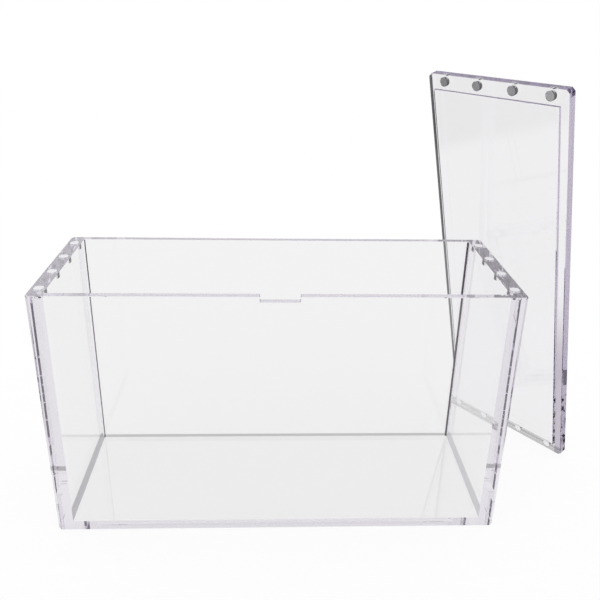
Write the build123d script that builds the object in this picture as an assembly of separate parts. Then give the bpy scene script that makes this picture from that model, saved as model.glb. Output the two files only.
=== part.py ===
"""Clear acrylic storage box with a lift-off lid that disc magnets hold shut.

Millimetres. The origin is the centre of the box's underside, +X is to the right,
+Y to the back and +Z up. The lid is off the box: it stands on its right-hand
short end and leans on the top of the box's back right corner.
"""
import os
from math import cos, radians, sin, sqrt

from build123d import *

# Box, over its outer faces
box_width = 368.0
box_depth = 134.0
box_height = 213.0

# Sheet that each panel is cut from
side_sheet = 12.0
face_sheet = 6.0
base_sheet = 6.0

# Polished bevel on the box's four upright corners and on the lid's, and the break along the other outer edges
corner_bevel = 2.5
edge_break = 0.4

# Finger notch in the middle of the front panel's top edge
notch_width = 30.0
notch_depth = 4.5
notch_corner_radius = 0.8

# Disc magnets, the same in the box and in the lid
magnet_diameter = 8.0
magnet_thickness = 5.0
magnet_edge_break = 0.25
magnet_inset = 16.0
magnets_per_end = 4

# Blind sockets that the magnets are glued into
socket_clearance = 0.05
socket_recess = 0.1

# Lid: an outer plate that covers the rim, and a thinner plate that drops inside it
lid_sheet = 8.0
locating_sheet = 3.0
locating_clearance = 0.5
locating_edge_break = 0.6

# How the lid stands beside the box
lid_turn = 36.3
lid_lean = 14.7
lid_offset = 18.8
lean_clearance = 0.3

# Faces of the box that the other pieces meet
inner_width = box_width - 2 * side_sheet
inner_depth = box_depth - 2 * face_sheet
side_centre = (box_width - side_sheet) / 2
face_centre = (box_depth - face_sheet) / 2
socket_radius = magnet_diameter / 2 + socket_clearance
socket_depth = magnet_thickness + socket_recess

# The outer magnets of an end stand in from its two corners, and the others are spread between them
magnet_pitch = (box_depth - 2 * magnet_inset) / (magnets_per_end - 1)


def magnet_rows():
    """Distance of each magnet of one end from the box's middle, front to back."""
    middle = (magnets_per_end - 1) / 2
    return [(index - middle) * magnet_pitch for index in range(magnets_per_end)]


def plate(width, depth, thickness):
    """A flat plate that lies centred on its underside."""
    return Box(width, depth, thickness, align=(Align.CENTER, Align.CENTER, Align.MIN))


def sockets(x, z, down):
    """The blind holes for one end's magnets, drilled down, or up, from the height z."""
    start = z - socket_depth if down else z
    drill = Cylinder(socket_radius, socket_depth, align=(Align.CENTER, Align.CENTER, Align.MIN))
    return [Pos(x, y, start) * drill for y in magnet_rows()]


def base_panel():
    """The bottom, let in between the four walls and flush with their lower edges."""
    return plate(inner_width, inner_depth, base_sheet)


def side_panel(side):
    """A thick side wall over the full depth and height, with bevelled corners and sockets in its top edge."""
    wall = Pos(side * side_centre, 0, 0) * plate(side_sheet, box_depth, box_height)
    outer_face = wall.faces().sort_by(Axis.X)[-1 if side > 0 else 0]
    wall = chamfer(outer_face.edges().filter_by(Axis.Z), corner_bevel)
    inner_face = wall.faces().sort_by(Axis.X)[0 if side > 0 else -1]
    level_edges = wall.edges().filter_by(Axis.Z, reverse=True)
    wall = chamfer([edge for edge in level_edges if edge not in inner_face.edges()], edge_break)
    return wall - sockets(side * side_centre, box_height, True)


def back_panel():
    """The back wall, between the side walls, with its outer edges broken."""
    wall = Pos(0, face_centre, 0) * plate(inner_width, face_sheet, box_height)
    outer_face = wall.faces().sort_by(Axis.Y)[-1]
    return chamfer(outer_face.edges().filter_by(Axis.X), edge_break)


def front_panel():
    """The front wall, between the side walls, with the finger notch in its top edge."""
    outline = Rectangle(inner_width, box_height, align=(Align.CENTER, Align.MIN))
    outline -= Pos(0, box_height) * Rectangle(notch_width, 2 * notch_depth)
    notch_corners = outline.vertices().filter_by(lambda corner: abs(corner.X) < notch_width)
    outline = fillet(notch_corners, notch_corner_radius)
    wall = Pos(0, -face_centre, 0) * extrude(Plane.XZ * outline, face_sheet / 2, both=True)
    outer_face = wall.faces().sort_by(Axis.Y)[0]
    seams = outer_face.edges().filter_by(Axis.Z).filter_by(lambda edge: abs(edge.center().X) > notch_width)
    return chamfer([edge for edge in outer_face.edges() if edge not in seams], edge_break)


def disc_magnet():
    """One magnet, standing on its lower face, with both rims broken."""
    disc = Cylinder(magnet_diameter / 2, magnet_thickness, align=(Align.CENTER, Align.CENTER, Align.MIN))
    return chamfer(disc.edges().filter_by(GeomType.CIRCLE), magnet_edge_break)


def lid_plate():
    """The outer plate, as large as the box, with sockets in its underside. It lies at the height 0."""
    sheet = plate(box_width, box_depth, lid_sheet)
    sheet = chamfer(sheet.edges().filter_by(Axis.Z), corner_bevel)
    sheet = chamfer(sheet.edges().filter_by(Axis.Z, reverse=True), edge_break)
    return sheet - sockets(-side_centre, 0, False) - sockets(side_centre, 0, False)


def lid_locating_plate():
    """The thinner plate bonded under the outer one, which drops inside the box's rim."""
    width = inner_width - 2 * locating_clearance
    depth = inner_depth - 2 * locating_clearance
    sheet = Pos(0, 0, -locating_sheet) * plate(width, depth, locating_sheet)
    return chamfer(sheet.faces().sort_by(Axis.Z)[0].edges(), locating_edge_break)


def box_pieces():
    """The panels of the box and the magnets in its side walls, by name."""
    pieces = {
        "base_panel": base_panel(),
        "front_panel": front_panel(),
        "back_panel": back_panel(),
        "left_side_panel": side_panel(-1),
        "right_side_panel": side_panel(1),
    }
    for end, side in (("left", -1), ("right", 1)):
        for number, y in enumerate(magnet_rows(), 1):
            seat = Pos(side * side_centre, y, box_height - socket_depth)
            pieces[f"box_magnet_{end}_{number}"] = seat * disc_magnet()
    return pieces


def lid_pieces():
    """The plates of the lid and their magnets, by name, lying with the underside at the height 0."""
    pieces = {"lid_plate": lid_plate(), "lid_locating_plate": lid_locating_plate()}
    for end, side in (("left", -1), ("right", 1)):
        for number, y in enumerate(magnet_rows(), 1):
            seat = Pos(side * side_centre, y, socket_recess)
            pieces[f"lid_magnet_{end}_{number}"] = seat * disc_magnet()
    return pieces


def lid_place():
    """Where the lid stands: on the floor, and against the top of the box's back right corner."""
    turn, lean = radians(lid_turn), radians(lid_lean)
    away = (cos(turn), sin(turn))
    # The corner is bevelled and its top edges are broken, so the lid meets the nearest of the points left there
    across, along, up = cos(lean) * away[0], cos(lean) * away[1], sin(lean)
    rim_corner = corner_bevel + edge_break * (sqrt(2) - 1)
    points_left = [
        (0, corner_bevel, edge_break),
        (corner_bevel, 0, edge_break),
        (edge_break, rim_corner, 0),
        (rim_corner, edge_break, 0),
    ]
    corner_loss = min(across * x + along * y + up * z for x, y, z in points_left)
    # The end's lower edge is broken too, so the lid comes down until that edge meets the floor
    foot_z = -edge_break * sin(lean)
    rise = box_height - foot_z
    reach = (rise * sin(lean) + locating_sheet + lean_clearance - corner_loss) / cos(lean)
    foot_x = box_width / 2 + reach * away[0] + lid_offset * away[1]
    foot_y = box_depth / 2 + reach * away[1] - lid_offset * away[0]
    stand = Pos(foot_x, foot_y, foot_z) * Rot(0, 0, lid_turn) * Rot(0, 90 - lid_lean, 0)
    return stand * Pos(-box_width / 2, 0, 0)


def all_pieces():
    """Every piece by name, where it is with the lid off."""
    pieces = box_pieces()
    for name, piece in lid_pieces().items():
        pieces[name] = lid_place() * piece
    return pieces


os.makedirs("parts", exist_ok=True)
for name, piece in all_pieces().items():
    export_step(piece, f"parts/{name}.step")
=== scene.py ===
"""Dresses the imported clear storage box: polished acrylic, nickel-plated disc magnets and a pale studio.

Everything is in metres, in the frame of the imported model. The box stands on the floor at the
origin, and its lid stands beside it and leans on its back right corner.
"""

import logging
from dataclasses import dataclass
from enum import Enum
from math import cos, radians, sin
from typing import Callable

import bmesh
import bpy
from mathutils import Matrix, Vector

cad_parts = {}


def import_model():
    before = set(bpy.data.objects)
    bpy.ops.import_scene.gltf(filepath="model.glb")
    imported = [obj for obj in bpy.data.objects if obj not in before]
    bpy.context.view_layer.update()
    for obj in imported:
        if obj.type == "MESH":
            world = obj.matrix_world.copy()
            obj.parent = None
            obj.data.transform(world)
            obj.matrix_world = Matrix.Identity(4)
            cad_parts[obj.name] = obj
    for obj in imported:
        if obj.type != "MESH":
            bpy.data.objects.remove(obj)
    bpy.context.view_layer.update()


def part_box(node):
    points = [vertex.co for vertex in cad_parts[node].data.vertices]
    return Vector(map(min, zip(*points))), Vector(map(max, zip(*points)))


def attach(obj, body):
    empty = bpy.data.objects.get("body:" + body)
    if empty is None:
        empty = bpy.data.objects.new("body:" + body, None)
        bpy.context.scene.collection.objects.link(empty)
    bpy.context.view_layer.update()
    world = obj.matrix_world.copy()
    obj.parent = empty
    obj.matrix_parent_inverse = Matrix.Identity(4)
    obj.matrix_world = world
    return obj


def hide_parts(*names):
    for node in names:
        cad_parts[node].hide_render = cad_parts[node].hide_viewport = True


log = logging.getLogger("storage_box")

MILLIMETRE = 0.001

# Places that are nearer than this are the same place
TOUCH = 1e-6

# Marks on the faces that the acrylic reads
SHEET_FINISH = "cut_edge"
# Where the lid's painted margin shade may go
MARGIN_SHADE_MARK = "painted_margin_shade"

# The magnets' rows
ENDS = ("left", "right")
MAGNETS_PER_END = 4

# In degrees: flatter faces are merged, and sharper edges are broken
FLAT_ANGLE = 0.5
SHARP_ANGLE = 50

# The lid's sheet, which is seen along its length, and the painted shade on the magnets' flanks that face one
# way
LID_DENSITY = 5.5
FLANK_SHADE_COLOUR = (0.05, 0.045, 0.05)
FLANK_SHADE_ROUGHNESS = 0.35

# How often light may be mirrored, and more often than that
BOUNCES = 64
MANY = 999

Colour = tuple[float, float, float]
Node = bpy.types.Node
Socket = bpy.types.NodeSocket
Mesh = bpy.types.Mesh
Shape = bmesh.types.BMesh
Object = bpy.types.Object
Material = bpy.types.Material
Pick = Callable[[Vector], bool]


class Body(Enum):
    """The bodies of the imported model."""

    BOX = "box"
    LID = "lid"


class Slot(Enum):
    """The record's material slots."""

    ACRYLIC = "clear_acrylic"
    MAGNET = "magnet"


class NodeTree:
    """A short way to add and link nodes."""

    def __init__(self, tree: bpy.types.NodeTree) -> None:
        """Wraps a node tree.

        Args:
            tree: The tree that the nodes go into.
        """
        self.tree = tree

    def add(self, kind: str, **settings: object) -> Node:
        """Adds one node.

        Args:
            kind: The node's type, as Blender names it.
            **settings: Properties of the node.

        Returns:
            The new node.
        """
        node = self.tree.nodes.new(kind)
        for name, value in settings.items():
            setattr(node, name, value)
        return node

    def feed(self, source: Socket | float, target: Socket) -> None:
        """Links an output to an input, or sets the input to a value.

        Args:
            source: The output, or the value.
            target: The input.
        """
        if isinstance(source, bpy.types.NodeSocket):
            self.tree.links.new(source, target)
        else:
            target.default_value = source

    def place(self) -> Socket:
        """The place on the piece, in its own coordinates."""
        return self.add("ShaderNodeTexCoord").outputs["Object"]

    def turns(self) -> Socket:
        """How often the light was mirrored on its way."""
        return self.add("ShaderNodeLightPath").outputs["Glossy Depth"]

    def split(self, vector: Socket) -> list[Socket]:
        """Takes a vector apart.

        Args:
            vector: The vector.

        Returns:
            Its three parts.
        """
        node = self.add("ShaderNodeSeparateXYZ")
        self.feed(vector, node.inputs[0])
        return list(node.outputs)

    def noise(self, place: Socket, scale: float) -> Socket:
        """A soft random pattern.

        Args:
            place: Where on the piece.
            scale: How fine it is.

        Returns:
            A number around a half.
        """
        node = self.add("ShaderNodeTexNoise")
        self.feed(place, node.inputs["Vector"])
        self.feed(scale, node.inputs["Scale"])
        return node.outputs["Fac"]

    def bump(self, height: Socket, distance: float, shader: Node) -> None:
        """Lets a pattern stand out of a surface.

        Args:
            height: The pattern.
            distance: How far a height of 1 stands out.
            shader: Of the surface.
        """
        node = self.add("ShaderNodeBump")
        self.feed(distance, node.inputs["Distance"])
        self.feed(height, node.inputs["Height"])
        self.feed(node.outputs["Normal"], shader.inputs["Normal"])

    def math(self, operation: str, *values: Socket | float) -> Socket:
        """Adds a Math node.

        Args:
            operation: What the node does, as Blender names it.
            *values: Its inputs, as values or sockets.

        Returns:
            The node's output.
        """
        node = self.add("ShaderNodeMath", operation=operation)
        for value, socket in zip(values, node.inputs):
            self.feed(value, socket)
        return node.outputs[0]

    def ramp(self, value: Socket, start: float, end: float, low: float, high: float) -> Socket:
        """Maps a value smoothly from one range to another.

        Args:
            value: What is mapped.
            start: Where the range begins.
            end: Where it ends.
            low: The result at its beginning.
            high: The result at its end.

        Returns:
            The mapped value.
        """
        node = self.add("ShaderNodeMapRange", interpolation_type="SMOOTHSTEP")
        for number, source in enumerate((value, start, end, low, high)):
            self.feed(source, node.inputs[number])
        return node.outputs[0]

    def inside(self, value: Socket, low: float, high: float, blur: float) -> Socket:
        """Marks a range out.

        Args:
            value: What is tested.
            low: Where the range begins.
            high: Where it ends.
            blur: How far each end is smoothed, away from the range.

        Returns:
            1 inside the range and 0 outside.
        """
        rise = self.ramp(value, low - blur, low, 0.0, 1.0)
        fall = self.ramp(value, high, high + blur, 1.0, 0.0)
        return self.math("MULTIPLY", rise, fall)

    def between(self, count: Socket, least: int, most: int) -> Socket:
        """1 for a whole number from the least to the most, and 0 for the others."""
        enough = self.math("GREATER_THAN", count, least - 0.5)
        return self.math("MULTIPLY", enough, self.math("LESS_THAN", count, most + 0.5))

    def choose(self, factor: Socket | float, plain: Socket | float, special: Socket | float) -> Socket:
        """Mixes two numbers.

        Args:
            factor: 0 for the plain number and 1 for the special one.
            plain: The plain number.
            special: The special number.

        Returns:
            The mixed number.
        """
        node = self.add("ShaderNodeMix", data_type="FLOAT")
        for number, source in enumerate((factor, None, plain, special)):
            if source is not None:
                self.feed(source, node.inputs[number])
        return node.outputs[0]


def new_material(name: str) -> tuple[Material, NodeTree, Node]:
    """Starts a material.

    Args:
        name: Of the material.

    Returns:
        The material, its nodes and its shader.
    """
    material = bpy.data.materials.new(name)
    material.use_nodes = True
    return material, NodeTree(material.node_tree), material.node_tree.nodes["Principled BSDF"]


@dataclass(frozen=True)
class ClearAcrylic:
    """Cast acrylic sheet, clear, with a faint violet tint that gathers over long ways inside it.

    Args:
        name: Of the material.
        ior: The index of refraction.
        tint: What is left of light after a long way inside.
        density: How quickly it gets there, per metre.
        haze: Roughness of the cast faces.
        sheet_wave: Height of the waves in the cast faces, in metres.
        sheet_scale: How close together they are.
        edge_wave: Height of the waves that polishing leaves in the cut edges, in metres.
        edge_scale: How close together they are.
        shade_colour: What is left of light that crosses the painted shade on the lid's margin, squared.
        shade_along: From where to where the painted shade builds up along the lid.
        shade_across: From where to where it ends across the lid.
        home: Turns places back to the lid lying flat, for the painted shade, or None where there is none.
    """

    name: str
    ior: float = 1.49
    tint: Colour = (0.52, 0.42, 0.64)
    density: float = 1.7
    haze: float = 0.0
    sheet_wave: float = 0.000004
    sheet_scale: float = 14.0
    edge_wave: float = 0.00001
    edge_scale: float = 90.0
    shade_colour: Colour = (0.40, 0.35, 0.44)
    shade_along: tuple[float, float] = (-0.02, 0.07)
    shade_across: tuple[float, float] = (-0.0605, -0.06)
    home: Matrix | None = None

    def material(self) -> Material:
        """Builds the acrylic.

        Returns:
            One material for a whole bonded body.
        """
        material, nodes, shader = new_material(self.name)
        shader.inputs["Base Color"].default_value = (1, 1, 1, 1)
        shader.inputs["Roughness"].default_value = self.haze
        shader.inputs["IOR"].default_value = self.ior
        shader.inputs["Transmission Weight"].default_value = 1
        place = nodes.place()
        height = nodes.choose(
            nodes.add("ShaderNodeAttribute", attribute_name=SHEET_FINISH).outputs["Fac"],
            nodes.math("MULTIPLY", nodes.noise(place, self.sheet_scale), self.sheet_wave),
            nodes.math("MULTIPLY", nodes.noise(place, self.edge_scale), self.edge_wave),
        )
        nodes.bump(height, 1.0, shader)
        # Painted shade: a darker violet tint on one margin of the lid's underside.
        if self.home is not None:
            nodes.feed(self.margin_shade(nodes, place), shader.inputs["Base Color"])
        depth = nodes.add("ShaderNodeVolumeAbsorption")
        nodes.feed((*self.tint, 1), depth.inputs["Color"])
        nodes.feed(self.density, depth.inputs["Density"])
        nodes.feed(depth.outputs["Volume"], material.node_tree.nodes["Material Output"].inputs["Volume"])
        return material

    def margin_shade(self, nodes: NodeTree, place: Socket) -> Socket:
        """Paints shade on the lid: a darker violet tint on the underside's margin along one long side,
        growing along the lid.

        Args:
            nodes: Of the material.
            place: The place on the sheet.

        Returns:
            The colour, which is white where the sheet is clear.
        """
        turned = nodes.add("ShaderNodeMapping")
        nodes.feed(place, turned.inputs["Vector"])
        nodes.feed(tuple(self.home.to_translation()), turned.inputs["Location"])
        nodes.feed(tuple(self.home.to_euler()), turned.inputs["Rotation"])
        along, across, _ = nodes.split(turned.outputs["Vector"])
        spread = nodes.math(
            "MULTIPLY",
            nodes.ramp(along, *self.shade_along, 0.0, 1.0),
            nodes.ramp(across, *self.shade_across, 1.0, 0.0),
        )
        marked = nodes.add("ShaderNodeAttribute", attribute_name=MARGIN_SHADE_MARK).outputs["Fac"]
        blend = nodes.add("ShaderNodeMix", data_type="RGBA")
        nodes.feed(nodes.math("MULTIPLY", marked, spread), blend.inputs["Factor"])
        nodes.feed((1, 1, 1, 1), blend.inputs[6])
        nodes.feed((*self.shade_colour, 1), blend.inputs[7])
        return blend.outputs[2]


@dataclass(frozen=True)
class CementPaintedShade:
    """Solvent cement that has set in a corner, made dark as painted shade for the dark line that the corner
    shows.

    Args:
        colour: What is left of light that crosses one of its faces, squared.
        roughness: How much it blurs.
        ior: The index of refraction, as set against the thin layer of air around it.
        grain_scale: How fine its grain is.
        grain_height: How high the grain stands out, in metres.
    """

    colour: Colour = (0.10, 0.085, 0.11)
    roughness: float = 0.12
    ior: float = 1.3
    grain_scale: float = 400.0
    grain_height: float = 0.00005

    def material(self) -> Material:
        """Builds the cement.

        Returns:
            Its material.
        """
        material, nodes, shader = new_material("cement")
        shader.inputs["Base Color"].default_value = (*self.colour, 1)
        shader.inputs["Roughness"].default_value = self.roughness
        shader.inputs["IOR"].default_value = self.ior
        shader.inputs["Transmission Weight"].default_value = 1
        nodes.bump(nodes.noise(nodes.place(), self.grain_scale), self.grain_height, shader)
        return material


@dataclass(frozen=True)
class NickelPlate:
    """The plating of the disc magnets, with a faint grain.

    Args:
        name: Of the material.
        colour: The plating's colour.
        roughness: How much it blurs what it mirrors, at least.
        grain: How much more it does in places.
        grain_scale: How close together those are.
    """

    name: str
    colour: Colour = (0.93, 0.93, 0.95)
    roughness: float = 0.15
    grain: float = 0.08
    grain_scale: float = 900.0

    def material(self) -> Material:
        """Builds the plating.

        Returns:
            Its material.
        """
        material, nodes, shader = new_material(self.name)
        shader.inputs["Base Color"].default_value = (*self.colour, 1)
        shader.inputs["Metallic"].default_value = 1
        spots = nodes.noise(nodes.place(), self.grain_scale)
        blur = nodes.math("MULTIPLY_ADD", spots, self.grain, self.roughness)
        nodes.feed(blur, shader.inputs["Roughness"])
        return material


class Workshop:
    """Cuts, joins and finishes meshes."""

    @staticmethod
    def block(low: Vector, high: Vector) -> Mesh:
        """A plain block between two corners.

        Args:
            low: Its lowest corner.
            high: Its highest corner.

        Returns:
            The block's mesh.
        """
        shape = bmesh.new()
        bmesh.ops.create_cube(shape, size=1)
        scale = Matrix.Diagonal((*(high - low), 1))
        bmesh.ops.transform(shape, matrix=Matrix.Translation((low + high) / 2) @ scale, verts=shape.verts)
        return Workshop.mesh(shape, "block")

    @staticmethod
    def rods(places: list[Vector], radius: float, length: float, sides: int = 64) -> Mesh:
        """Upright rods, one at each place.

        Args:
            places: The centre of each rod's lower end.
            radius: Of a rod.
            length: Of a rod.
            sides: Of a rod.

        Returns:
            The rods' mesh.
        """
        shape = bmesh.new()
        for place in places:
            bmesh.ops.create_cone(
                shape,
                cap_ends=True,
                segments=sides,
                radius1=radius,
                radius2=radius,
                depth=length,
                matrix=Matrix.Translation(place + Vector((0, 0, length / 2))),
            )
        return Workshop.mesh(shape, "rods")

    @staticmethod
    def mesh(shape: Shape, name: str) -> Mesh:
        """Turns a shape into a mesh and frees it.

        Args:
            shape: The shape.
            name: Of the mesh.

        Returns:
            The mesh.
        """
        mesh = bpy.data.meshes.new(name)
        shape.to_mesh(mesh)
        shape.free()
        return mesh

    @staticmethod
    def combine(base: Mesh, tool: Mesh, operation: str) -> Mesh:
        """Joins or cuts one mesh with another.

        Args:
            base: The mesh that is worked on.
            tool: The mesh that is joined to it or cut from it.
            operation: UNION or DIFFERENCE.

        Returns:
            The result.
        """
        work, cutter = (bpy.data.objects.new("work", mesh) for mesh in (base, tool))
        for item in (work, cutter):
            bpy.context.scene.collection.objects.link(item)
        step = work.modifiers.new("combine", "BOOLEAN")
        step.operation, step.solver, step.object = operation, "EXACT", cutter
        graph = bpy.context.evaluated_depsgraph_get()
        result = bpy.data.meshes.new_from_object(work.evaluated_get(graph), depsgraph=graph)
        for item in (work, cutter):
            bpy.data.objects.remove(item)
        return result

    @staticmethod
    def bevel(shape: Shape, edges: list[bmesh.types.BMEdge], width: float, steps: int = 1) -> None:
        """Bevels edges.

        Args:
            shape: The mesh.
            edges: Those that are bevelled.
            width: How far the bevel reaches along the faces on its two sides.
            steps: Flats that it is made of.
        """
        bmesh.ops.bevel(
            shape,
            geom=edges,
            offset=width,
            offset_type="OFFSET",
            segments=steps,
            profile=0.5,
            affect="EDGES",
        )

    @staticmethod
    def tidy(mesh: Mesh) -> Shape:
        """Opens a mesh for editing, with its flat faces merged.

        Args:
            mesh: The mesh.

        Returns:
            Its shape.
        """
        shape = bmesh.new()
        shape.from_mesh(mesh)
        bmesh.ops.dissolve_limit(shape, angle_limit=radians(FLAT_ANGLE), verts=shape.verts, edges=shape.edges)
        return shape


def on_plane(value: float, place: float) -> bool:
    """True if a coordinate lies at a place."""
    return abs(value - place) < TOUCH


def centre(name: str) -> Vector:
    """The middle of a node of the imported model."""
    return sum(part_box(name), Vector()) / 2


def magnet_names(body: Body) -> list[str]:
    """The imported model's magnets of one body, row by row."""
    numbers = range(1, MAGNETS_PER_END + 1)
    return [f"{body.value}_magnet_{end}_{number}" for end in ENDS for number in numbers]


@dataclass
class MagnetSet:
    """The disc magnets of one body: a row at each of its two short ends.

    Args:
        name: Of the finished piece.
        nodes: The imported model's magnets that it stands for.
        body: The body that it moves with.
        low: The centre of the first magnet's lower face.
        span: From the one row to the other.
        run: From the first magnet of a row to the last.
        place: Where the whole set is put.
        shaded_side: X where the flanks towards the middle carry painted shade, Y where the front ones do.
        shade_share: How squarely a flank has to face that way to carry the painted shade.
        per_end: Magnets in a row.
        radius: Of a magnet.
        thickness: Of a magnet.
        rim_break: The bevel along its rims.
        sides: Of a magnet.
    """

    name: str
    nodes: list[str]
    body: Body
    low: Vector
    span: float
    run: float
    place: Matrix
    shaded_side: str
    shade_share: float = 0.35
    per_end: int = MAGNETS_PER_END
    radius: float = 4 * MILLIMETRE
    thickness: float = 5 * MILLIMETRE
    rim_break: float = 0.25 * MILLIMETRE
    sides: int = 48

    def tree(self, finish: Material, flank: Material) -> bpy.types.GeometryNodeTree:
        """Builds the nodes that set the discs out on a grid.

        Args:
            finish: The material of the discs' faces.
            flank: The dark material of the painted shade, on the flanks that face one way.

        Returns:
            The node group.
        """
        group = bpy.data.node_groups.new("magnet_rows", "GeometryNodeTree")
        face = group.interface
        face.new_socket("Geometry", in_out="OUTPUT", socket_type="NodeSocketGeometry")
        names = ("Span", "Run", "Radius", "Thickness", "Rim Break")
        for name in names:
            face.new_socket(name, in_out="INPUT", socket_type="NodeSocketFloat")
        face.new_socket("Per End", in_out="INPUT", socket_type="NodeSocketInt")
        face.new_socket("Start", in_out="INPUT", socket_type="NodeSocketVector")
        nodes = NodeTree(group)
        given = nodes.add("NodeGroupInput").outputs
        inner = nodes.math("SUBTRACT", given["Radius"], given["Rim Break"])
        base = nodes.add("GeometryNodeMeshCircle", fill_type="NGON")
        nodes.feed(self.sides, base.inputs["Vertices"])
        nodes.feed(inner, base.inputs["Radius"])
        wall = nodes.math("SUBTRACT", given["Thickness"], nodes.math("MULTIPLY", given["Rim Break"], 2.0))
        shape, top = base.outputs["Mesh"], None
        steps = (
            (given["Rim Break"], nodes.math("DIVIDE", given["Radius"], inner)),
            (wall, 1.0),
            (given["Rim Break"], nodes.math("DIVIDE", inner, given["Radius"])),
        )
        for rise, growth in steps:
            pull = nodes.add("GeometryNodeExtrudeMesh", mode="FACES")
            nodes.feed(shape, pull.inputs["Mesh"])
            if top:
                nodes.feed(top, pull.inputs["Selection"])
            nodes.feed(rise, pull.inputs["Offset Scale"])
            nodes.feed(False, pull.inputs["Individual"])
            shape, top = pull.outputs["Mesh"], pull.outputs["Top"]
            spread = nodes.add("GeometryNodeScaleElements", domain="FACE")
            nodes.feed(shape, spread.inputs["Geometry"])
            nodes.feed(top, spread.inputs["Selection"])
            nodes.feed(growth, spread.inputs["Scale"])
            shape = spread.outputs["Geometry"]
        bottom = nodes.add("GeometryNodeFlipFaces")
        nodes.feed(base.outputs["Mesh"], bottom.inputs["Mesh"])
        both = nodes.add("GeometryNodeJoinGeometry")
        nodes.feed(shape, both.inputs[0])
        nodes.feed(bottom.outputs["Mesh"], both.inputs[0])
        disc = nodes.add("GeometryNodeMergeByDistance")
        nodes.feed(both.outputs[0], disc.inputs["Geometry"])
        nodes.feed(TOUCH, disc.inputs["Distance"])
        grid = nodes.add("GeometryNodeMeshGrid")
        nodes.feed(given["Span"], grid.inputs["Size X"])
        nodes.feed(given["Run"], grid.inputs["Size Y"])
        nodes.feed(2, grid.inputs["Vertices X"])
        nodes.feed(given["Per End"], grid.inputs["Vertices Y"])
        move = nodes.add("GeometryNodeTransform")
        nodes.feed(grid.outputs["Mesh"], move.inputs["Geometry"])
        nodes.feed(given["Start"], move.inputs["Translation"])
        spots = nodes.add("GeometryNodeInstanceOnPoints")
        nodes.feed(move.outputs["Geometry"], spots.inputs["Points"])
        nodes.feed(disc.outputs["Geometry"], spots.inputs["Instance"])
        real = nodes.add("GeometryNodeRealizeInstances")
        nodes.feed(spots.outputs["Instances"], real.inputs["Geometry"])
        plated = nodes.add("GeometryNodeSetMaterial")
        nodes.feed(real.outputs["Geometry"], plated.inputs["Geometry"])
        nodes.feed(finish, plated.inputs["Material"])
        # Painted shade: the flanks that face the middle (X) or the front (Y) get the dark material.
        normal_x, normal_y, _ = nodes.split(nodes.add("GeometryNodeInputNormal").outputs[0])
        x, _, _ = nodes.split(nodes.add("GeometryNodeInputPosition").outputs[0])
        outward = nodes.math("MULTIPLY", normal_x, nodes.math("SIGN", x))
        side = outward if self.shaded_side == "X" else normal_y
        shaded_side = nodes.add("GeometryNodeSetMaterial")
        nodes.feed(plated.outputs["Geometry"], shaded_side.inputs["Geometry"])
        nodes.feed(nodes.math("LESS_THAN", side, -self.shade_share), shaded_side.inputs["Selection"])
        nodes.feed(flank, shaded_side.inputs["Material"])
        nodes.feed(shaded_side.outputs["Geometry"], nodes.add("NodeGroupOutput").inputs[0])
        return group

    def build(self, finish: Material, flank: Material) -> Object:
        """Makes the set as one plain mesh.

        Args:
            finish: The material of the discs' faces.
            flank: The dark material of the painted shade, on the flanks that face one way.

        Returns:
            The finished piece.
        """
        piece = bpy.data.objects.new(self.name, bpy.data.meshes.new(self.name))
        bpy.context.scene.collection.objects.link(piece)
        rows = piece.modifiers.new("rows", "NODES")
        rows.node_group = self.tree(finish, flank)
        values = {
            "Span": self.span,
            "Run": self.run,
            "Radius": self.radius,
            "Thickness": self.thickness,
            "Rim Break": self.rim_break,
            "Per End": self.per_end,
            "Start": self.low + Vector((self.span / 2, self.run / 2, 0)),
        }
        for item in rows.node_group.interface.items_tree:
            if item.in_out == "INPUT":
                rows[item.identifier] = values[item.name]
        graph = bpy.context.evaluated_depsgraph_get()
        mesh = bpy.data.meshes.new_from_object(piece.evaluated_get(graph), depsgraph=graph)
        piece.modifiers.remove(rows)
        mesh.transform(self.place)
        piece.data = mesh
        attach(piece, self.body.value)
        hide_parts(*self.nodes)
        log.info("%s: %d faces", piece.name, len(mesh.polygons))
        return piece


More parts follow.
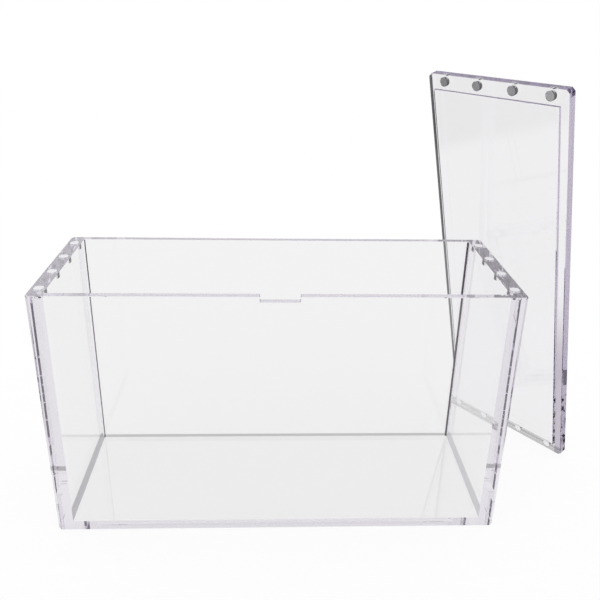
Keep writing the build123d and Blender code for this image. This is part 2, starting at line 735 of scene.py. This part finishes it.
@dataclass
class Acrylic:
    """What the bonded body of the box and the lid share.

    Args:
        finish: Their material.
        corner_bevel: The bevel at the upright corners.
        edge_break: The break along the other outer edges.
        socket_clearance: Between a magnet and its socket.
        socket_depth: Of a socket.
        magnet_radius: Of a magnet.
    """

    finish: Material
    corner_bevel: float = 2.5 * MILLIMETRE
    edge_break: float = 0.4 * MILLIMETRE
    socket_clearance: float = 0.05 * MILLIMETRE
    socket_depth: float = 5.1 * MILLIMETRE
    magnet_radius: float = 4 * MILLIMETRE

    def drill(self, mesh: Mesh, places: list[Vector], length: float) -> Mesh:
        """Cuts the sockets.

        Args:
            mesh: What they are cut into.
            places: The centre of each drill's lower end.
            length: Of a drill.

        Returns:
            The drilled mesh.
        """
        drills = Workshop.rods(places, self.magnet_radius + self.socket_clearance, length)
        return Workshop.combine(mesh, drills, "DIFFERENCE")

    def trim(self, shape: Shape, reach_x: float, reach_y: float) -> None:
        """Bevels the four corners of a block and breaks its other outer edges.

        Args:
            shape: The block, with whatever is cut from it or bonded to it.
            reach_x: Half its width.
            reach_y: Half its depth.
        """

        def outer(vertex: bmesh.types.BMVert) -> bool:
            """Finds the outline that the block has from above.

            Args:
                vertex: One of the shape's.

            Returns:
                True if it lies on the outline.
            """
            x, y = abs(vertex.co.x), abs(vertex.co.y)
            corner = x > reach_x - self.corner_bevel - TOUCH and y > reach_y - self.corner_bevel - TOUCH
            return corner or on_plane(x, reach_x) or on_plane(y, reach_y)

        corners = [
            edge
            for edge in shape.edges
            if all(on_plane(abs(v.co.x), reach_x) and on_plane(abs(v.co.y), reach_y) for v in edge.verts)
            and (edge.verts[0].co - edge.verts[1].co).xy.length < TOUCH
        ]
        Workshop.bevel(shape, corners, self.corner_bevel)
        edges = [
            edge
            for edge in shape.edges
            if all(outer(v) for v in edge.verts) and edge.calc_face_angle() > radians(SHARP_ANGLE)
        ]
        Workshop.bevel(shape, edges, self.edge_break)

    def dress(self, mesh: Mesh, name: str, body: Body, nodes: list[str], cut: Pick) -> Object:
        """Makes a finished piece of a bonded body.

        Args:
            mesh: Its shape.
            name: Its name.
            body: The body that it moves with.
            nodes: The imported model's panels that it stands for.
            cut: Says of a face's middle whether it lies on a cut edge.

        Returns:
            The finished piece.
        """
        mesh.name = name
        mesh.materials.clear()
        mesh.materials.append(self.finish)
        marks = mesh.attributes.new(SHEET_FINISH, "FLOAT", "FACE")
        for face in mesh.polygons:
            face.material_index = 0
            face.use_smooth = False
            marks.data[face.index].value = float(cut(face.center))
        piece = bpy.data.objects.new(name, mesh)
        bpy.context.scene.collection.objects.link(piece)
        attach(piece, body.value)
        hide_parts(*nodes)
        log.info("%s: %d faces", name, len(mesh.polygons))
        return piece


@dataclass
class BoxBody(Acrylic):
    """The box: five sheets bonded into one clear body, with magnet sockets in the ends' top edges.

    Args:
        notch_width: Of the finger notch.
        notch_depth: Of the finger notch.
        notch_corner: The rounding of its two lower corners.
        notch_steps: Flats that the rounding is made of.
        overrun: How far the cutting blocks stand out.
        panels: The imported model's sheets.
    """

    notch_width: float = 30 * MILLIMETRE
    notch_depth: float = 4.5 * MILLIMETRE
    notch_corner: float = 0.8 * MILLIMETRE
    notch_steps: int = 6
    overrun: float = 5 * MILLIMETRE
    panels: tuple[str, ...] = (
        "base_panel",
        "front_panel",
        "back_panel",
        "left_side_panel",
        "right_side_panel",
    )

    def build(self) -> Object:
        """Makes the bonded body.

        Returns:
            The finished piece.
        """
        corners = [corner for panel in self.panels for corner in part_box(panel)]
        low = Vector(min(corner[axis] for corner in corners) for axis in range(3))
        high = Vector(max(corner[axis] for corner in corners) for axis in range(3))
        left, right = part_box("left_side_panel")[1].x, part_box("right_side_panel")[0].x
        inside_low = Vector((left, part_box("front_panel")[1].y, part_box("base_panel")[1].z))
        inside_high = Vector((right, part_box("back_panel")[0].y, high.z + self.overrun))
        half = self.notch_width / 2
        hollow = Workshop.block(inside_low, inside_high)
        mesh = Workshop.combine(Workshop.block(low, high), hollow, "DIFFERENCE")
        notch = Workshop.block(
            Vector((-half, low.y - self.overrun, high.z - self.notch_depth)),
            Vector((half, inside_low.y + self.overrun, high.z + self.overrun)),
        )
        mesh = Workshop.combine(mesh, notch, "DIFFERENCE")
        magnets = [centre(name) for name in magnet_names(Body.BOX)]
        seats = [Vector((magnet.x, magnet.y, high.z - self.socket_depth)) for magnet in magnets]
        shape = Workshop.tidy(self.drill(mesh, seats, self.socket_depth + self.overrun))
        notch_corners = [
            edge
            for edge in shape.edges
            if all(on_plane(abs(v.co.x), half) and v.co.z > high.z - self.overrun for v in edge.verts)
            and abs(edge.verts[0].co.y - edge.verts[1].co.y) > TOUCH
        ]
        Workshop.bevel(shape, notch_corners, self.notch_corner, self.notch_steps)
        self.trim(shape, high.x, high.y)
        for side in (left, right):
            bmesh.ops.bisect_plane(
                shape,
                geom=shape.verts[:] + shape.edges[:] + shape.faces[:],
                plane_co=(side, 0, 0),
                plane_no=(1, 0, 0),
            )
        mesh = Workshop.mesh(shape, "box_body")

        def cut(place: Vector) -> bool:
            """Finds the rim, the underside, the ends' narrow edges, the notch and the sockets.

            Args:
                place: The middle of a face.

            Returns:
                True if it lies there.
            """
            ends = abs(place.x) > right and abs(place.y) > inside_high.y
            inner_end = on_plane(abs(place.x), right)
            return (ends or place.z > high.z - self.socket_depth or place.z < TOUCH) and not inner_end

        return self.dress(mesh, "box_body", Body.BOX, list(self.panels), cut)


@dataclass
class LidBody(Acrylic):
    """The lid: a plate as large as the box, with a thinner plate bonded under it.

    Args:
        turn: How far the standing lid is turned to the left, in degrees.
        lean: How far it leans, in degrees.
        sheet: Thickness of the outer plate.
        locating_sheet: Thickness of the thinner plate.
        locating_clearance: Between the thinner plate and the box's inner faces.
        locating_break: The break along the thinner plate's lower edges.
    """

    turn: float = 36.3
    lean: float = 14.7
    sheet: float = 8 * MILLIMETRE
    locating_sheet: float = 3 * MILLIMETRE
    locating_clearance: float = 0.5 * MILLIMETRE
    locating_break: float = 0.6 * MILLIMETRE

    @classmethod
    def place(cls) -> Matrix:
        """Where the lid stands.

        Returns:
            The move to there from lying centred with its underside at the height 0.
        """
        upright = Matrix.Rotation(radians(90 - cls.lean), 4, "Y")
        turned = Matrix.Rotation(radians(cls.turn), 4, "Z") @ upright
        return Matrix.Translation(centre("lid_plate")) @ turned @ Matrix.Translation((0, 0, -cls.sheet / 2))

    def build(self) -> Object:
        """Makes the bonded lid.

        Returns:
            The finished piece.
        """
        half_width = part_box("right_side_panel")[1].x
        half_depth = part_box("back_panel")[1].y
        inner_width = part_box("right_side_panel")[0].x - self.locating_clearance
        inner_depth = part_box("back_panel")[0].y - self.locating_clearance
        plate = Workshop.block(
            Vector((-half_width, -half_depth, 0)),
            Vector((half_width, half_depth, self.sheet)),
        )
        step = Workshop.block(
            Vector((-inner_width, -inner_depth, -self.locating_sheet)),
            Vector((inner_width, inner_depth, self.locating_sheet)),
        )
        mesh = Workshop.combine(plate, step, "UNION")
        home = self.place().inverted()
        magnets = [home @ centre(name) for name in magnet_names(Body.LID)]
        seats = [Vector((magnet.x, magnet.y, -self.locating_sheet)) for magnet in magnets]
        shape = Workshop.tidy(self.drill(mesh, seats, self.socket_depth + self.locating_sheet))
        self.trim(shape, half_width, half_depth)
        lower = [
            edge
            for edge in shape.edges
            if all(on_plane(v.co.z, -self.locating_sheet) for v in edge.verts)
        ]
        Workshop.bevel(shape, lower, self.locating_break)
        mesh = Workshop.mesh(shape, "lid_body")

        def cut(place: Vector) -> bool:
            """Finds the edges of both plates and the sockets.

            Args:
                place: The middle of a face.

            Returns:
                True if it lies there.
            """
            past_end = abs(place.x) > half_width - self.edge_break
            past_side = abs(place.y) > half_depth - self.edge_break
            below = -self.locating_sheet < place.z < 0
            return past_end or past_side or below or TOUCH < place.z < self.sheet - TOUCH

        piece = self.dress(mesh, "lid_body", Body.LID, ["lid_plate", "lid_locating_plate"], cut)
        # Marks the underside's faces, where the painted shade on the margin goes.
        margin_shade = mesh.attributes.new(MARGIN_SHADE_MARK, "FLOAT", "FACE")
        for face in mesh.polygons:
            margin_shade.data[face.index].value = float(on_plane(face.center.z, 0))
        mesh.transform(self.place())
        return piece


@dataclass
class BondLinesPaintedShade:
    """The cement that has run out along the joints between the back wall and the ends, dark as painted shade
    for the dark lines in those corners.

    Args:
        finish: Its material.
        left: How far it reaches along the sheets, in the left corner.
        right: The same in the right corner.
        gap: Between it and the sheets.
        short: How far it ends below the rim.
    """

    finish: Material
    left: float = 0.7 * MILLIMETRE
    right: float = 1.5 * MILLIMETRE
    gap: float = 0.02 * MILLIMETRE
    short: float = 0.6 * MILLIMETRE

    def build(self) -> Object:
        """Makes both as one piece.

        Returns:
            The finished piece.
        """
        shape = bmesh.new()
        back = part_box("back_panel")[0].y - self.gap
        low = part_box("base_panel")[1].z + self.gap
        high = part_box("back_panel")[1].z - self.short
        corners = (
            (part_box("left_side_panel")[1].x + self.gap, 1, self.left),
            (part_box("right_side_panel")[0].x - self.gap, -1, self.right),
        )
        for x, inward, leg in corners:
            outline = [(x, back), (x + inward * leg, back), (x, back - leg)]
            rings = [[shape.verts.new((a, b, z)) for a, b in outline] for z in (low, high)]
            shape.faces.new(rings[0])
            shape.faces.new(rings[1][::-1])
            for number in range(3):
                after = (number + 1) % 3
                shape.faces.new([rings[0][after], rings[0][number], rings[1][number], rings[1][after]])
        bmesh.ops.recalc_face_normals(shape, faces=shape.faces)
        piece = bpy.data.objects.new("bond_lines_painted_shade", Workshop.mesh(shape, "bond_lines_painted_shade"))
        bpy.context.scene.collection.objects.link(piece)
        piece.data.materials.append(self.finish)
        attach(piece, Body.BOX.value)
        log.info("%s: %d faces", piece.name, len(piece.data.polygons))
        return piece


@dataclass(frozen=True)
class Zone:
    """A part of the floor with painted shade, darker for light which comes through the sheets.

    Args:
        share: How much of the floor's brightness is left there.
        turns: How often the light was mirrored, at least and at most.
        x: From where to where the part reaches along X, or None for all of it.
        y: The same along Y.
        blur: How far its borders are smoothed, along X and along Y.
        centre: Where x and y are measured from.
        turn: How far X and Y are turned to the left, in degrees.
    """

    share: float
    turns: tuple[int, int]
    x: tuple[float, float] | None = None
    y: tuple[float, float] | None = None
    blur: tuple[float, float] = (0.002, 0.0005)
    centre: tuple[float, float] = (0.0, 0.0)
    turn: float = 0.0

    def left(self, nodes: NodeTree, x: Socket, y: Socket, turns: Socket) -> Socket:
        """How much is left at a place.

        Args:
            nodes: Of the floor.
            x: The place.
            y: The place.
            turns: How often the light was mirrored.

        Returns:
            The share inside the zone, and 1 outside it.
        """
        if self.turn:
            along, aside = cos(radians(self.turn)), sin(radians(self.turn))
            from_x, from_y = (nodes.math("SUBTRACT", *pair) for pair in zip((x, y), self.centre))
            x = nodes.math("MULTIPLY_ADD", from_x, along, nodes.math("MULTIPLY", from_y, aside))
            y = nodes.math("MULTIPLY_ADD", from_y, along, nodes.math("MULTIPLY", from_x, -aside))
        mark = nodes.between(turns, *self.turns)
        for place, reach, blur in zip((x, y), (self.x, self.y), self.blur):
            if reach:
                mark = nodes.math("MULTIPLY", mark, nodes.inside(place, *reach, blur))
        return nodes.choose(mark, 1.0, self.share)


@dataclass
class Studio:
    """The pale floor, the white surroundings and the camera.

    Args:
        focal_length: Of the camera, for a sensor as wide as the picture, in millimetres.
        sensor: Its width.
        camera_place: Where the camera stands.
        pitch: How far it looks down, in degrees.
        heading: How far it turns to the left, in degrees.
        roll: How far it leans, in degrees.
        nearest: How near to it something still shows.
        floor_reach: From the origin to the floor's edges.
        floor_gap: Between the floor and the object.
        floor_colour: What the floor gives back of the light that falls on it.
        seen_through: How bright floor and surroundings are for all but the camera.
        far_right: What is left of that on the right, for light that was mirrored a few times.
        overhead: The same above.
        right_edge: Where the darker right begins, as the X part of a direction.
        high_edge: Where the darker top begins, as its Z part.
        few: How often light is mirrored at most to count as a few times.
        often_left: What is left for light that was mirrored more often.
        flank_left: What is left for light that went to and fro between the flanks of a sheet.
        flank_turns: How often that light was mirrored, at least and at most.
        contact: Painted shade around the edges that stand on the floor.
        reflected: Painted shade in the parts beside the object, as its faces mirror them.
        edges: Painted shade under the box, as its polished edges mirror it.
    """

    focal_length: float = 41.993
    sensor: float = 36.0
    camera_place: tuple[float, float, float] = (-0.006937, -0.534585, 0.414477)
    pitch: float = 23.524
    heading: float = -2.604
    roll: float = -1.230
    nearest: float = 0.01
    floor_reach: float = 3.0
    floor_gap: float = 0.0002
    floor_colour: float = 0.1
    seen_through: float = 0.90
    far_right: float = 0.12
    overhead: float = 0.6
    right_edge: tuple[float, float] = (0.6, 0.8)
    high_edge: tuple[float, float] = (0.62, 0.72)
    few: int = 4
    often_left: float = 0.9
    flank_left: float = 0.3
    flank_turns: tuple[int, int] = (17, 25)
    contact: tuple[Zone, ...] = (
        Zone(0.3, (0, 4), (-0.189, -0.1835), (-0.067, 0.0765), (0.001, 0.001)),
        Zone(0.57, (0, 4), (0.1835, 0.189), (-0.067, 0.0765), (0.001, 0.001)),
        Zone(0.57, (0, 4), (-0.183, 0.183), (0.071, 0.0765), (0.001, 0.001)),
        Zone(0.5, (0, 4), (0.0, 0.014), (-0.066, 0.066), (0.003, 0.004), (0.2417, 0.086), 36.3),
    )
    reflected: tuple[Zone, ...] = (
        Zone(0.25, (1, 4), (-9, -0.34), (0.0, 0.3), (0.06, 0.1)),
        Zone(0.12, (1, 4), (0.31, 9), (0.0, 0.2), (0.03, 0.1)),
        Zone(0.12, (1, 4), (0.41, 9), (0.0, 9), (0.03, 0.1)),
        Zone(0.12, (1, 4), (1.0, 9), None, (0.1, 0.1)),
    )
    edges: tuple[Zone, ...] = (
        Zone(0.62, (5, 6), (-0.187, -0.168)),
        Zone(0.62, (7, 10), (-0.187, -0.168), (-9, 0.02), (0.002, 0.01)),
        Zone(0.79, (11, 20), (-0.187, -0.168), (-9, 0.02), (0.002, 0.01)),
        Zone(0.3, (5, 9), (0.171, 0.19)),
        Zone(0.55, (10, 20), (0.171, 0.19), (-9, 0.0), (0.002, 0.01)),
        Zone(0.62, (5, 20), (-0.16, 0.0), (0.0615, 0.067), (0.01, 0.0005)),
        Zone(0.3, (5, 20), (0.0, 9), (0.0615, 0.067), (0.01, 0.0005)),
        Zone(0.72, (21, MANY), None, (0.0615, 0.067)),
        Zone(0.55, (9, 18), (-0.155, -0.04), (0.056, 0.067)),
        Zone(0.55, (12, 18), (-0.155, -0.04), (-0.067, -0.056)),
        Zone(0.3, (9, 18), (0.04, 0.155), (0.056, 0.067)),
        Zone(0.3, (12, 18), (0.04, 0.155), (-0.067, -0.056)),
        Zone(0.3, (17, 20), (0.192, 0.36), (0.0, 0.13), (0.002, 0.005)),
        Zone(0.3, (17, 20), (-1.0, -0.188), (-1.0, 0.06), (0.001, 0.005)),
    )

    def camera(self) -> Object:
        """Puts the camera at the photograph's place and angle.

        Returns:
            The camera.
        """
        data = bpy.data.cameras.new("camera")
        data.sensor_width = self.sensor
        data.lens = self.focal_length
        data.clip_start = self.nearest
        camera = bpy.data.objects.new("camera", data)
        bpy.context.scene.collection.objects.link(camera)
        pitch, heading, roll = radians(self.pitch), radians(self.heading), radians(self.roll)
        forward = Vector((-sin(heading) * cos(pitch), cos(heading) * cos(pitch), -sin(pitch)))
        level = Vector((cos(heading), sin(heading), 0))
        upright = Vector((-sin(heading) * sin(pitch), cos(heading) * sin(pitch), cos(pitch)))
        right = cos(roll) * level - sin(roll) * upright
        up = sin(roll) * level + cos(roll) * upright
        turn = Matrix((right, up, -forward)).transposed().to_4x4()
        camera.matrix_world = Matrix.Translation(self.camera_place) @ turn
        bpy.context.scene.camera = camera
        return camera

    def brightness(self, nodes: NodeTree, share: Socket) -> Socket:
        """How bright a place around the object is.

        Args:
            nodes: Of the floor or the world.
            share: What is left of the studio's brightness there.

        Returns:
            1 for the camera, and for the rest that share of the brightness.
        """
        direct = nodes.add("ShaderNodeLightPath").outputs["Is Camera Ray"]
        return nodes.choose(direct, nodes.math("MULTIPLY", share, self.seen_through), 1.0)

    def world(self) -> None:
        """White for the camera, and darker on the right and above for light that was mirrored."""
        world = bpy.data.worlds.new("studio")
        world.use_nodes = True
        bpy.context.scene.world = world
        nodes = NodeTree(world.node_tree)
        background = world.node_tree.nodes["Background"]
        nodes.feed((1, 1, 1, 1), background.inputs["Color"])
        x, _, z = nodes.split(nodes.add("ShaderNodeTexCoord").outputs["Generated"])
        turns = nodes.turns()
        right = nodes.ramp(x, *self.right_edge, 1.0, self.far_right)
        above = nodes.ramp(z, *self.high_edge, 1.0, self.overhead)
        once = nodes.math("MINIMUM", right, above)
        often = nodes.choose(nodes.between(turns, *self.flank_turns), self.often_left, self.flank_left)
        share = nodes.choose(nodes.between(turns, 1, self.few), 1.0, once)
        share = nodes.choose(nodes.between(turns, self.few + 1, MANY), share, often)
        nodes.feed(self.brightness(nodes, share), background.inputs["Strength"])

    def floor(self) -> Object:
        """A pale floor, with the shade that the object throws on it, and painted shade in zones near it for
        light that comes through the sheets.

        Returns:
            The floor.
        """
        mesh = bpy.data.meshes.new("floor")
        reach = self.floor_reach
        corners = [(-reach, -reach), (reach, -reach), (reach, reach), (-reach, reach)]
        mesh.from_pydata([(x, y, -self.floor_gap) for x, y in corners], [], [(0, 1, 2, 3)])
        floor = bpy.data.objects.new("floor", mesh)
        bpy.context.scene.collection.objects.link(floor)
        material, nodes, shader = new_material("floor")
        nodes.feed((self.floor_colour, self.floor_colour, self.floor_colour, 1), shader.inputs["Base Color"])
        nodes.feed(1.0, shader.inputs["Roughness"])
        nodes.feed(0.0, shader.inputs["Specular IOR Level"])
        nodes.feed((1, 1, 1, 1), shader.inputs["Emission Color"])
        x, y, _ = nodes.split(nodes.place())
        turns = nodes.turns()
        share = 1.0
        # Painted shade on the floor, zone by zone, for all but the camera
        for zone in (*self.contact, *self.reflected, *self.edges):
            share = nodes.math("MINIMUM", zone.left(nodes, x, y, turns), share)
        given = self.floor_colour * self.seen_through
        glow = nodes.math("SUBTRACT", self.brightness(nodes, share), given)
        nodes.feed(nodes.math("MAXIMUM", glow, 0.0), shader.inputs["Emission Strength"])
        mesh.materials.append(material)
        return floor


def magnet_set(body: Body, place: Matrix, shaded_side: str) -> MagnetSet:
    """Sets out one body's magnets.

    Args:
        body: The body.
        place: Where the set is put, for a body that lies flat.
        shaded_side: The axis along which the flanks that face one way carry painted shade.

    Returns:
        The set.
    """
    names = magnet_names(body)
    home = place.inverted()
    down = Vector((0, 0, -MagnetSet.thickness / 2))
    first, last = (home @ centre(name) + down for name in (names[0], names[-1]))
    span, run = last.x - first.x, last.y - first.y
    return MagnetSet(f"{body.value}_magnets", names, body, first, span, run, place, shaded_side)


def main() -> None:
    """Builds the studio and dresses the box."""
    logging.basicConfig(level=logging.INFO)
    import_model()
    scene = bpy.context.scene
    scene.view_settings.view_transform = "Standard"
    scene.cycles.max_bounces = BOUNCES
    scene.cycles.transmission_bounces = BOUNCES
    scene.cycles.glossy_bounces = BOUNCES
    studio = Studio()
    studio.camera()
    studio.world()
    studio.floor()
    BoxBody(ClearAcrylic("box_acrylic").material()).build()
    # Dark cement beads in the back corners: painted shade for the dark lines there
    BondLinesPaintedShade(CementPaintedShade().material()).build()
    place = LidBody.place()
    LidBody(ClearAcrylic("lid_acrylic", density=LID_DENSITY, home=place.inverted()).material()).build()
    nickel = NickelPlate("nickel_plate").material()
    # Dark nickel, as painted shade on the magnets' flanks that face one way
    flank_shade = NickelPlate("nickel_painted_shade", FLANK_SHADE_COLOUR, FLANK_SHADE_ROUGHNESS).material()
    magnet_set(Body.BOX, Matrix.Identity(4), "X").build(nickel, flank_shade)
    magnet_set(Body.LID, place, "Y").build(nickel, flank_shade)


if __name__ == "__main__":
    main()
